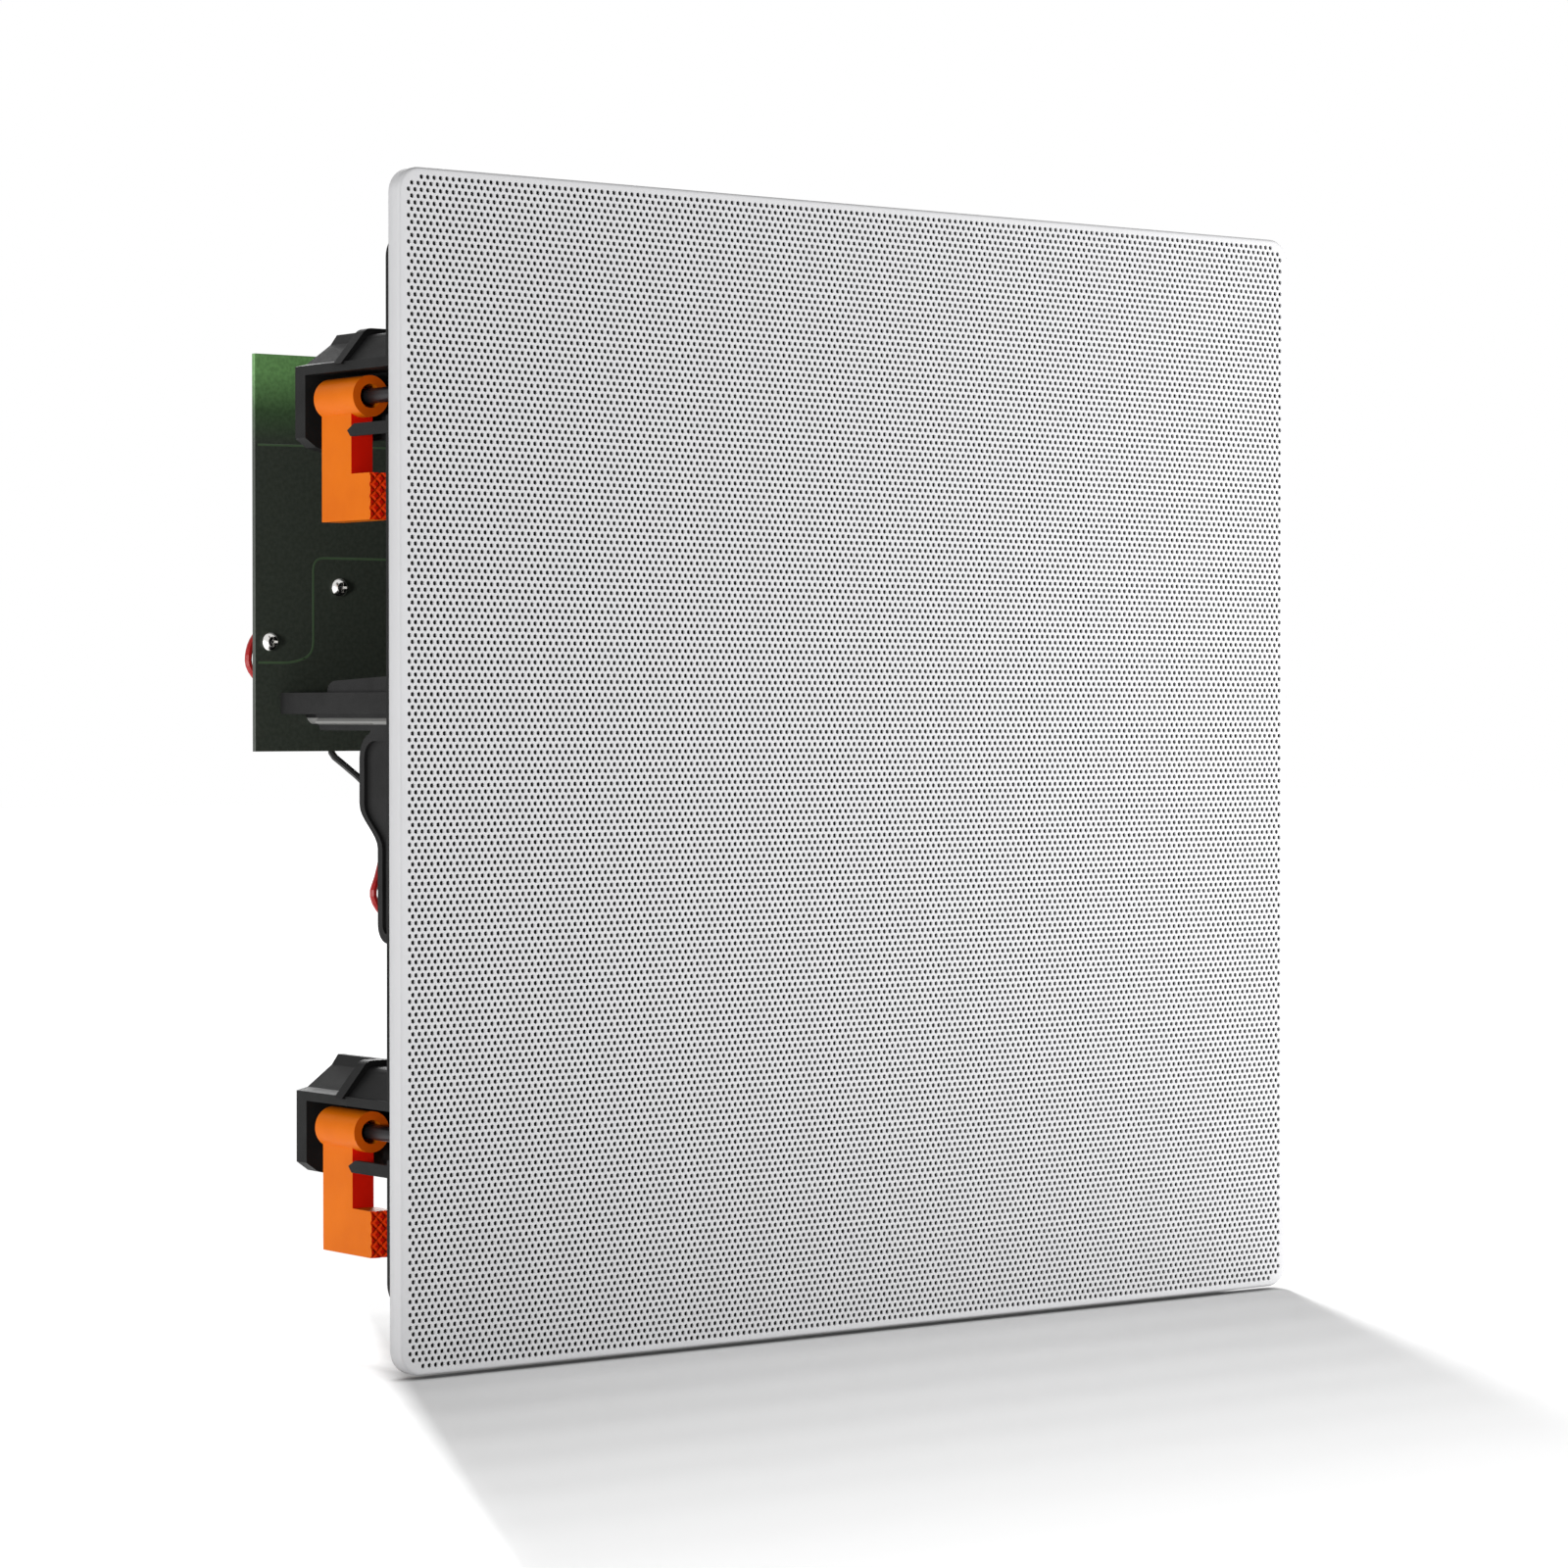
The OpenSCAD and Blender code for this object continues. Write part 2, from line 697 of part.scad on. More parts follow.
module pole_piece() {
    color([0.6, 0.6, 0.62])
        into_wall()
            difference() {
                union() {
                    translate([0, 0, back_plate_y])
                        cylinder(h = plate_t, r = magnet_r - 3);
                    translate([0, 0, top_y])
                        cylinder(h = back_plate_y - top_y + 1, r = pole_r);
                }
                translate([0, 0, top_y - 1])
                    cylinder(h = magnet_t + 2 * plate_t + 2, r = 5);
            }
}

module woofer_screws() {
    color([0.12, 0.12, 0.12])
        at_woofer_screws() pan_screw(0, 0, basket_front - small_head_t, small_head_r, small_head_t, small_r, 9);
}

module terminal_strip() {
    color([0.35, 0.2, 0.1])
        rotate([0, 180 - strip_a, 0])
            difference() {
                block([can_r + 2.6, spider_y + seat_t + run_clear, -strip_w / 2],
                    [tab_r + 6, spider_y + seat_t + strip_t, strip_w / 2]);
                for (a = tab_angles)
                    rotate([0, strip_a - a, 0])
                        block([tab_r - tab_w / 2 - fit_clear, 0, -tab_t / 2 - fit_clear],
                            [tab_r + tab_w / 2 + fit_clear, tab_back, tab_t / 2 + fit_clear]);
            }
}

module terminal_tabs() {
    color([0.8, 0.62, 0.25])
        for (a = tab_angles)
            rotate([0, 180 - a, 0])
                block([tab_r - tab_w / 2, spider_y + seat_t - 1.5, -tab_t / 2],
                    [tab_r + tab_w / 2, tab_back, tab_t / 2]);
}

module tweeter_bridge() {
    leg_in = woofer_r + 1.5;
    color([0.1, 0.1, 0.11])
        difference() {
            union() {
                slab(bridge_y, bridge_t)
                    union() {
                        square([bridge_w, 2 * bridge_end], center = true);
                        circle(hub_r);
                    }
                into_wall(bridge_y) cylinder(h = hub_len, r = hub_r);
                for (s = [0, 180])
                    rotate([0, s, 0])
                        block([-bridge_w / 2, bridge_y, leg_in], [bridge_w / 2, baffle_y, bridge_end]);
            }
            into_wall(bridge_y - over) cylinder(h = hub_len + 2 * over, r = tweeter_d / 2 + fit_clear);
            for (s = [-1, 1])
                translate([0, 0, s * bridge_screw_z])
                    into_wall(bridge_y - over) cylinder(h = baffle_back + 2 * over, r = small_r + fit_clear);
        }
}

module bridge_screws() {
    color([0.12, 0.12, 0.12])
        for (s = [-1, 1])
            pan_screw(0, s * bridge_screw_z, bridge_y - 1.4, small_head_r, 1.4, small_r, baffle_back + over);
}

module tweeter_cup() {
    color([0.14, 0.14, 0.15])
        into_wall(bridge_y)
            difference() {
                cylinder(h = tweeter_len, r = tweeter_d / 2);
                translate([0, 0, -1])
                    cylinder(h = 3, r1 = tweeter_d / 2 - 0.5, r2 = tweeter_d / 2 - 4.5);
                translate([0, 0, 1])
                    cylinder(h = tweeter_len - 3, r = 13.5);
            }
}

module tweeter_dome() {
    dome_r = 12.8;
    color([0.2, 0.2, 0.22])
        into_wall(bridge_y + 4.5)
            rotate_extrude()
                intersection() {
                    translate([0, 11.5])
                        difference() {
                            circle(15.5);
                            circle(15);
                        }
                    translate([0, -5])
                        square([dome_r, 7.8]);
                }
}

module tweeter_magnet() {
    color([0.7, 0.7, 0.72])
        into_wall(bridge_y + tweeter_len - 2 - 9)
            cylinder(h = 9, r = 12.5);
}

module circuit_board() {
    color([0.07, 0.2, 0.09])
        difference() {
            block([board_x, board_y, board_z], [board_x + board_w, board_back, board_z + board_h]);
            for (p = concat([for (x = post_xs) [x, post_z]], [[mast_x, mast_z]], block_screw_at))
                translate([p[0], 0, p[1]])
                    into_wall(board_y - 1) cylinder(h = board_t + 2, r = small_r + fit_clear);
        }
}

function ease(t) = t * t * (3 - 2 * t);

// Side wall of the bracket, in y and z: a foot, an S-shaped back edge and a rounded top under the shelf
module arm_side(inset) {
    polygon(concat([[baffle_back + inset, arm_low + inset], [arm_waist - 5, arm_low + inset]],
        [for (a = [-75 : 15 : 0]) [arm_waist - 5 + (5 - inset) * cos(a), arm_low + 5 + (5 - inset) * sin(a)]],
        [for (k = [0 : arm_steps]) [arm_waist - inset + (arm_back - arm_waist) * ease(k / arm_steps),
            arm_slope[0] + (arm_slope[1] - arm_slope[0]) * k / arm_steps]],
        [for (a = [0 : 15 : 75]) [arm_back - 7 + (7 - inset) * cos(a), shelf_z - 7.5 + (7 - inset) * sin(a)]],
        [[arm_back - 7, shelf_z + 2 - 2 * inset], [baffle_back + inset, shelf_z + 2 - 2 * inset]]));
}

module upright_side() {
    polygon(concat([[baffle_back, shelf_z], [upright_back, shelf_z]],
        [for (a = [0 : 15 : 90]) [upright_back - 4 + 4 * cos(a), upright_top - 5 + 3 * sin(a)]],
        [[baffle_back, upright_top]]));
}

module shelf_plan() {
    difference() {
        polygon([[bracket_x, baffle_back + 6], [bracket_x + 26, baffle_back + 6], [bracket_x + 26, 46],
            [shelf_in, 70], [shelf_in, driver_back + over], [shelf_end, driver_back + over],
            [shelf_end, board_y], [bracket_x, board_y]]);
        difference() {
            translate([bracket_x - over, board_y - shelf_r])
                square([shelf_r + over, shelf_r + over]);
            translate([bracket_x + shelf_r, board_y - shelf_r])
                circle(shelf_r);
        }
    }
}

// The shelf's plan less its skirt along the left and back edges
module shelf_inside() {
    skirt = bracket_t - over;
    long = shelf_end - bracket_x;
    translate([bracket_x + bracket_t, 0])
        square([long, board_y - skirt - shelf_r]);
    translate([bracket_x + bracket_t + shelf_r - skirt, 0])
        square([long, board_y - skirt]);
    translate([bracket_x + bracket_t + shelf_r - skirt, board_y - shelf_r])
        circle(shelf_r - skirt);
}

// Gusset between the bracket's foot and its side wall
module foot_gusset(z) {
    translate([0, 0, z])
        linear_extrude(2.5)
            polygon([[bracket_x + 1.5, baffle_back + over], [bracket_x + foot_w, baffle_back + over],
                [bracket_x + foot_w, baffle_back + 3], [bracket_x + bracket_t, arm_waist - 3],
                [bracket_x + 1.5, arm_waist - 3]]);
}

module board_bracket() {
    color([0.1, 0.1, 0.11])
        difference() {
            union() {
                side_slab(bracket_x, bracket_t) arm_side(0);
                side_slab(bracket_x + recess, bracket_t - recess) upright_side();
                translate([0, 0, band_z])
                    linear_extrude(shelf_top - band_z)
                        difference() {
                            shelf_plan();
                            intersection() {
                                shelf_inside();
                                shelf_plan();
                            }
                        }
                translate([0, 0, shelf_top - 3])
                    linear_extrude(3)
                        shelf_plan();
                side_slab(bracket_x + recess, bracket_t - recess)
                    polygon([[baffle_back + 6, shelf_z], [skirt_end - 3, shelf_z], [skirt_end, band_z + over],
                        [baffle_back + 6, band_z + over]]);
                slab(baffle_back + 6, skirt_end - baffle_back - 8)
                    polygon([[bracket_x + 1.5, shelf_z + 1.6], [bracket_x, shelf_z + 2],
                        [bracket_x, shelf_z + 2.5], [bracket_x + 1.5, shelf_z + 3.8]]);
                for (x = post_xs)
                    translate([x, 0, post_z])
                        into_wall(board_y - post_len) cylinder(h = post_len, r = boss_r);
                block([mast_x - 5, board_y - 8, shelf_top - over], [mast_x + 5, board_y, mast_z + 6]);
                side_slab(mast_x - 1.25, 2.5)
                    polygon([[board_y - 28, shelf_top - over], [board_y - over, shelf_top - over],
                        [board_y - over, mast_z - 20]]);
                block([bracket_x, baffle_back, arm_low], [bracket_x + foot_w, baffle_back + 3, upright_top]);
                for (z = [-18, 12])
                    foot_gusset(z);
            }
            side_slab(bracket_x - over, over + recess) arm_side(arm_edge);
            for (x = post_xs)
                translate([x, 0, post_z])
                    into_wall(board_y - post_len + over) cylinder(h = post_len, r = small_r + fit_clear);
            translate([mast_x, 0, mast_z])
                into_wall(board_y - 7) cylinder(h = 8, r = small_r + fit_clear);
            for (z = foot_screw_z)
                translate([foot_screw_x, 0, z])
                    into_wall(baffle_back - over) cylinder(h = 6, r = small_r + fit_clear);
        }
}

module bracket_screws() {
    color([0.12, 0.12, 0.12])
        for (z = foot_screw_z)
            back_screw(foot_screw_x, z, baffle_back + 5, small_head_r, small_head_t, small_r, 9);
}

module board_screws() {
    color([0.7, 0.7, 0.72]) {
        for (x = post_xs)
            back_screw(x, post_z, board_back + small_head_t, small_head_r, small_head_t, small_r, 8);
        back_screw(mast_x, mast_z, board_back + small_head_t, small_head_r, small_head_t, small_r, 7);
    }
}

module input_block() {
    color([0.08, 0.08, 0.08])
        difference() {
            union() {
                block([block_x, board_back, block_z],
                    [block_x + block_w, board_back + block_d, block_z + block_h]);
                block([block_x - 11, board_back, block_z], [block_x + 1, board_back + 2.4, block_z + 11]);
            }
            for (x = [block_x + 2, block_x + 13])
                block([x, board_back + 4, block_z + 12],
                    [x + 9, board_back + block_d + over, block_z + block_h + over]);
            for (p = block_screw_at)
                translate([p[0], 0, p[1]])
                    into_wall(board_back - 1) cylinder(h = 4, r = small_r + fit_clear);
        }
}

module block_clamps() {
    color([0.8, 0.62, 0.25])
        for (x = [block_x + 2, block_x + 13])
            difference() {
                block([x + 1, board_back + 4, block_z + 14], [x + 8, board_back + 10, block_z + 24]);
                translate([x + 4.5, board_back + 7, block_z + 13])
                    cylinder(h = 12, r = 1.6);
            }
}

module block_screws() {
    color([0.8, 0.8, 0.82])
        for (p = block_screw_at)
            pan_screw(p[0], p[1], board_y - 1.9, 2.6, 1.9, small_r, board_t + 2.2);
}

module wound_coil(r_out, r_in, len) {
    rotate_extrude()
        union() {
            translate([r_in, 1.5])
                square([r_out - r_in - 1.5, len - 3]);
            for (y = [0, len - 1.5])
                translate([r_in, y])
                    square([r_out - r_in, 1.5]);
        }
}

// Places something on the back of the board, at a share of its width and height
module on_board(x_share, z_share, y) {
    translate([board_x + board_w * x_share, board_back + y, board_z + board_h * z_share])
        children();
}

module large_coil() {
    color([0.72, 0.36, 0.14])
        on_board(0.708, 0.708, 0)
            into_wall() wound_coil(large_coil_r, large_coil_r * 0.4, large_coil_len);
}

module small_coil() {
    color([0.72, 0.36, 0.14])
        on_board(0.446, 0.472, 0)
            into_wall() wound_coil(small_coil_r, small_coil_r * 0.43, small_coil_len);
}

module film_capacitors() {
    color([0.62, 0.1, 0.1]) {
        on_board(0.246, 0.799, cap_r[0])
            rotate([0, 90, 0])
                cylinder(h = cap_len[0], r = cap_r[0]);
        on_board(0.646, 0.327, cap_r[1])
            rotate([0, 90, 0])
                cylinder(h = cap_len[1], r = cap_r[1]);
    }
}

module power_resistor() {
    color([0.85, 0.84, 0.8])
        on_board(0.615, 0.109, 0)
            cube(resistor);
}

// A round lead swept along a smooth curve through its points
function unit(v) = v / norm(v);
function at_point(p, i) = p[max(0, min(i, len(p) - 1))];
function curve(p, i, t) = let (a = at_point(p, i - 1), b = at_point(p, i), c = at_point(p, i + 1),
    d = at_point(p, i + 2)) b + t / 2 * (c - a + t * (2 * a - 5 * b + 4 * c - d + t * (3 * b - a - 3 * c + d)));
function smooth(p, n) = concat([for (i = [0 : len(p) - 2]) for (k = [0 : n - 1]) curve(p, i, k / n)],
    [p[len(p) - 1]]);
function along(p, i) = unit(at_point(p, i + 1) - at_point(p, i - 1));

module lead(p, d) {
    n = 8;
    side = [-0.94, -0.35, 0];
    points = [for (i = [0 : len(p) - 1])
        let (t = along(p, i), a = unit(cross(t, side)), b = cross(t, a))
            for (k = [0 : n - 1])
                p[i] + d / 2 * (cos(360 * k / n) * a + sin(360 * k / n) * b)];
    last = (len(p) - 1) * n;
    polyhedron(points, concat(
        [[for (k = [0 : n - 1]) k]],
        [for (i = [0 : len(p) - 2])
            for (k = [0 : n - 1])
                [i * n + k, (i + 1) * n + k, (i + 1) * n + (k + 1) % n, i * n + (k + 1) % n]],
        [[for (k = [n - 1 : -1 : 0]) last + k]]));
}

module woofer_lead_black() {
    color([0.06, 0.06, 0.06])
        lead(smooth(black_route, 3), lead_d);
}

module woofer_lead_red() {
    color([0.65, 0.05, 0.05])
        lead(smooth(red_route, 3), lead_d);
}

module input_lead_red() {
    color([0.65, 0.05, 0.05])
        lead(smooth(input_route, 3), lead_d);
}

module tweeter_lead() {
    color([0.06, 0.06, 0.06])
        lead(smooth(tweeter_route, 3), lead_d);
}

grille();
scrim();
grille_magnets();
frame();
clamp_screw(1);  // clamp_screw_1
clamp_screw(2);  // clamp_screw_2
clamp_screw(3);  // clamp_screw_3
clamp_screw(4);  // clamp_screw_4
clamp_dog(1);  // clamp_dog_1
clamp_dog(2);  // clamp_dog_2
clamp_dog(3);  // clamp_dog_3
clamp_dog(4);  // clamp_dog_4
woofer_gasket();
woofer_basket();
woofer_cone();
cone_surround();
dust_cap();
spider();
voice_coil();
top_plate();
ring_magnet();
pole_piece();
woofer_screws();
terminal_strip();
terminal_tabs();
tweeter_bridge();
bridge_screws();
tweeter_cup();
tweeter_dome();
tweeter_magnet();
circuit_board();
board_bracket();
bracket_screws();
board_screws();
input_block();
block_screws();
block_clamps();
input_lead_red();
large_coil();
small_coil();
film_capacitors();
power_resistor();
woofer_lead_black();
woofer_lead_red();
tweeter_lead();
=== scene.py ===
# Square flush-mount loudspeaker: looks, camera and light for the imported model.
# Metres. X along the wall, Y into it, Z up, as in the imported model.
import json
import math
import bmesh
import bpy
import numpy as np
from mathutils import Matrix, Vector
from mathutils.geometry import delaunay_2d_cdt


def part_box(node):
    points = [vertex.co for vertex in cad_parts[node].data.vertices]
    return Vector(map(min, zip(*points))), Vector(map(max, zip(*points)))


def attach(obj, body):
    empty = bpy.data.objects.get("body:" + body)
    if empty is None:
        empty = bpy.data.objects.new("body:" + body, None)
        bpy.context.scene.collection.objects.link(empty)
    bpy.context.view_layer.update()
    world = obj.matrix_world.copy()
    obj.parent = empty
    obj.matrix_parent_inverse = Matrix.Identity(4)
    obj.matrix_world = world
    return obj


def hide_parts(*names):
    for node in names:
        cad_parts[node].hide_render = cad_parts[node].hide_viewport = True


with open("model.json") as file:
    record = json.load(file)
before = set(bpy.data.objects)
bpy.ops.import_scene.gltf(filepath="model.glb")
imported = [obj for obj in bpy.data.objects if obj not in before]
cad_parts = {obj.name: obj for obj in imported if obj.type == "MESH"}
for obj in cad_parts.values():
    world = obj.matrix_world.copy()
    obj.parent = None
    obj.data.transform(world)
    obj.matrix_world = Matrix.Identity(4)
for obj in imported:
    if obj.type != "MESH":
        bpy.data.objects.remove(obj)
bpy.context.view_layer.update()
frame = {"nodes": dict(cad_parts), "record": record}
nodes = frame["nodes"]
scene = bpy.context.scene

# Camera, at the photograph's viewing angle

cam_data = bpy.data.cameras.new("camera")
cam_data.sensor_width = 36.0
cam_data.lens = 103.05
cam_data.clip_start = 0.02
cam_data.clip_end = 50.0
cam = bpy.data.objects.new("camera", cam_data)
cam.location = (-0.7665, -0.98005, 0.01643)
cam.rotation_euler = (math.radians(90.0 - 0.963), 0.0, math.radians(-37.0))
scene.collection.objects.link(cam)
scene.camera = cam

# Shader helpers

BLACK = (0.0, 0.0, 0.0)
WHITE = (1.0, 1.0, 1.0)


def new_tree(name):
    m = bpy.data.materials.new(name)
    m.use_nodes = True
    nt = m.node_tree
    return m, nt, nt.nodes["Principled BSDF"]


def node(nt, kind, **values):
    """A shader node, with values for its sockets or else for its properties."""
    n = nt.nodes.new(kind)
    for k, v in values.items():
        if k in n.inputs:
            n.inputs[k].default_value = v
        else:
            setattr(n, k, v)
    return n


def place_of(nt):
    return node(nt, "ShaderNodeTexCoord").outputs["Object"]


def axis_of(nt, vector, axis):
    xyz = node(nt, "ShaderNodeSeparateXYZ")
    nt.links.new(vector, xyz.inputs[0])
    return xyz.outputs[axis]


def ramp(nt, source, stops):
    r = nt.nodes.new("ShaderNodeValToRGB")
    el = r.color_ramp.elements
    while len(el) < len(stops):
        el.new(0.5)
    for e, (at, col) in zip(el, stops):
        e.position = at
        e.color = (*col, 1.0)
    nt.links.new(source, r.inputs["Fac"])
    return r.outputs["Color"]


def ranged(nt, source, start, end, low=0.0, high=1.0):
    """The source's span from start to end, carried over to low to high and held there outside it."""
    r = node(nt, "ShaderNodeMapRange")
    for name, value in (("From Min", start), ("From Max", end), ("To Min", low), ("To Max", high)):
        r.inputs[name].default_value = value
    nt.links.new(source, r.inputs["Value"])
    return r.outputs["Result"]


def combine(nt, operation, a, b):
    m = node(nt, "ShaderNodeMath", operation=operation)
    nt.links.new(a, m.inputs[0])
    nt.links.new(b, m.inputs[1])
    return m.outputs[0]


def noise(nt, vector, scale, detail, **more):
    n = node(nt, "ShaderNodeTexNoise", Scale=scale, Detail=detail, **more)
    nt.links.new(vector, n.inputs["Vector"])
    return n.outputs["Fac"]


def add_bump(nt, bsdf, height, strength, distance):
    b = node(nt, "ShaderNodeBump", Strength=strength, Distance=distance)
    nt.links.new(height, b.inputs["Height"])
    nt.links.new(b.outputs["Normal"], bsdf.inputs["Normal"])


def add_over(nt, bsdf, share, under, colour):
    """Base colour: the under colour, and the given one by the share."""
    mix = node(nt, "ShaderNodeMix", data_type="RGBA")
    nt.links.new(share, mix.inputs["Factor"])
    nt.links.new(under, mix.inputs["A"])
    mix.inputs["B"].default_value = (*colour, 1.0)
    nt.links.new(mix.outputs["Result"], bsdf.inputs["Base Color"])


def shade(c, k):
    return tuple(max(0.0, min(1.0, v * k)) for v in c)


# Materials


def surface(name, colour, rough, metallic=0.0, mottle=0.06, bump=0.1, bump_mm=0.4, specular=0.5, sheen=0.0,
            brushed=None):
    """Mottled colour, uneven roughness and a fine bump, all in object space."""
    mottle_scale, wear_scale, rough_vary = 90.0, 207.0, 0.06
    m, nt, bsdf = new_tree(name)
    at = place_of(nt)
    big = noise(nt, at, mottle_scale, 5.0, Roughness=0.6)
    col = ramp(nt, big, [(0.3, shade(colour, 1.0 - mottle)), (0.7, shade(colour, 1.0 + mottle))])
    nt.links.new(col, bsdf.inputs["Base Color"])
    wear = noise(nt, at, wear_scale, 4.0)
    span = ranged(nt, wear, 0.0, 1.0, max(0.02, rough - rough_vary), min(1.0, rough + rough_vary))
    nt.links.new(span, bsdf.inputs["Roughness"])
    along = at
    if brushed:
        stretch = node(nt, "ShaderNodeMapping")
        stretch.inputs["Scale"].default_value = brushed
        nt.links.new(at, stretch.inputs["Vector"])
        along = stretch.outputs["Vector"]
    add_bump(nt, bsdf, noise(nt, along, 1.0 / (bump_mm * 0.001), 3.0), bump, 0.0002)
    bsdf.inputs["Metallic"].default_value = metallic
    bsdf.inputs["Specular IOR Level"].default_value = specular
    bsdf.inputs["Sheen Weight"].default_value = sheen
    return m


def cloth_material():
    """Open weave: two sets of threads that cross."""
    m, nt, bsdf = new_tree("open_cloth")
    at = place_of(nt)
    threads = []
    for axis in ("X", "Z"):
        w = node(nt, "ShaderNodeTexWave", wave_type="BANDS", bands_direction=axis, Scale=420.0, Distortion=0.3)
        nt.links.new(at, w.inputs["Vector"])
        threads.append(w.outputs["Fac"])
    weave = combine(nt, "MULTIPLY", *threads)
    col = ramp(nt, weave, [(0.05, (0.010, 0.010, 0.010)), (0.7, (0.035, 0.035, 0.036))])
    nt.links.new(col, bsdf.inputs["Base Color"])
    bsdf.inputs["Roughness"].default_value = 0.9
    add_bump(nt, bsdf, weave, 0.5, 0.0002)
    return m


def board_material():
    """Dark solder mask, with painted light: lighter and greener towards the upper edge, and painted shade below
    it.
    """
    m, nt, bsdf = new_tree("circuit_board")
    at = place_of(nt)
    # Painted light: from 90 to 110 mm up the board turns lighter and greener as if lit there, and stays dark below
    # as if in shade
    rise = ranged(nt, axis_of(nt, at, "Z"), 0.090, 0.110)
    mask_and_painted_light = ramp(nt, rise, [(0.0, (0.046, 0.055, 0.043)), (0.45, (0.055, 0.105, 0.045)),
                           (1.0, (0.170, 0.370, 0.125))])
    glass = noise(nt, at, 900.0, 2.0)
    fleck = ramp(nt, glass, [(0.35, (0.85, 0.85, 0.85)), (0.65, (1.15, 1.15, 1.15))])
    mix = node(nt, "ShaderNodeMix", data_type="RGBA", blend_type="MULTIPLY")
    mix.inputs["Factor"].default_value = 1.0
    nt.links.new(mask_and_painted_light, mix.inputs["A"])
    nt.links.new(fleck, mix.inputs["B"])
    nt.links.new(mix.outputs["Result"], bsdf.inputs["Base Color"])
    bsdf.inputs["Roughness"].default_value = 0.34
    bsdf.inputs["Specular IOR Level"].default_value = 0.3
    add_bump(nt, bsdf, glass, 0.15, 0.0001)
    return m


def dog_material():
    """Orange moulding, with painted shade: deeper red on the faces that look towards the room, as in the
    photograph.
    """
    m, nt, bsdf = new_tree("orange_plastic")
    at = place_of(nt)
    face = node(nt, "ShaderNodeTexCoord").outputs["Normal"]
    # Painted shade: faces that look towards the room (-Y) are given a deeper red, as if in shade
    painted_shade_faces = ranged(nt, axis_of(nt, face, "Y"), -0.25, -0.85)
    orange = ramp(nt, noise(nt, at, 60.0, 5.0), [(0.3, (0.72, 0.147, 0.002)), (0.7, (0.80, 0.178, 0.004))])
    # On the barrel's end, between 35.5 and 36.7 mm deep, the painted shade is weaker, so it stays nearer to orange
    # than the leg and the foot
    depth = ranged(nt, axis_of(nt, at, "Y"), 0.030, 0.045)
    painted_shade_depth = ramp(nt, depth, [(0.333, WHITE), (0.367, (0.3, 0.3, 0.3)), (0.447, (0.3, 0.3, 0.3)), (0.480, WHITE)])
    add_over(nt, bsdf, combine(nt, "MULTIPLY", painted_shade_faces, painted_shade_depth), orange, (0.85, 0.012, 0.003))
    bsdf.inputs["Roughness"].default_value = 0.42
    bsdf.inputs["Specular IOR Level"].default_value = 0.06
    add_bump(nt, bsdf, noise(nt, at, 2200.0, 3.0), 0.15, 0.0002)
    return m


def bracket_material():
    """Black moulding whose lower lip under the shelf has a painted highlight along its edge."""
    m = surface("bracket_plastic", (0.016, 0.016, 0.016), 0.5, mottle=0.25, bump=0.25, bump_mm=0.4, specular=0.07)
    nt = m.node_tree
    bsdf = nt.nodes["Principled BSDF"]
    # Painted highlight: a light grey band about 12 to 14 mm up, along the lip's edge, as if light catches it
    rise = ranged(nt, axis_of(nt, place_of(nt), "Z"), 0.0110, 0.0150)
    lip_highlight = ramp(nt, rise, [(0.25, BLACK), (0.35, WHITE), (0.66, WHITE), (0.74, BLACK)])
    add_over(nt, bsdf, lip_highlight, bsdf.inputs["Base Color"].links[0].from_socket, (0.28, 0.28, 0.27))
    return m


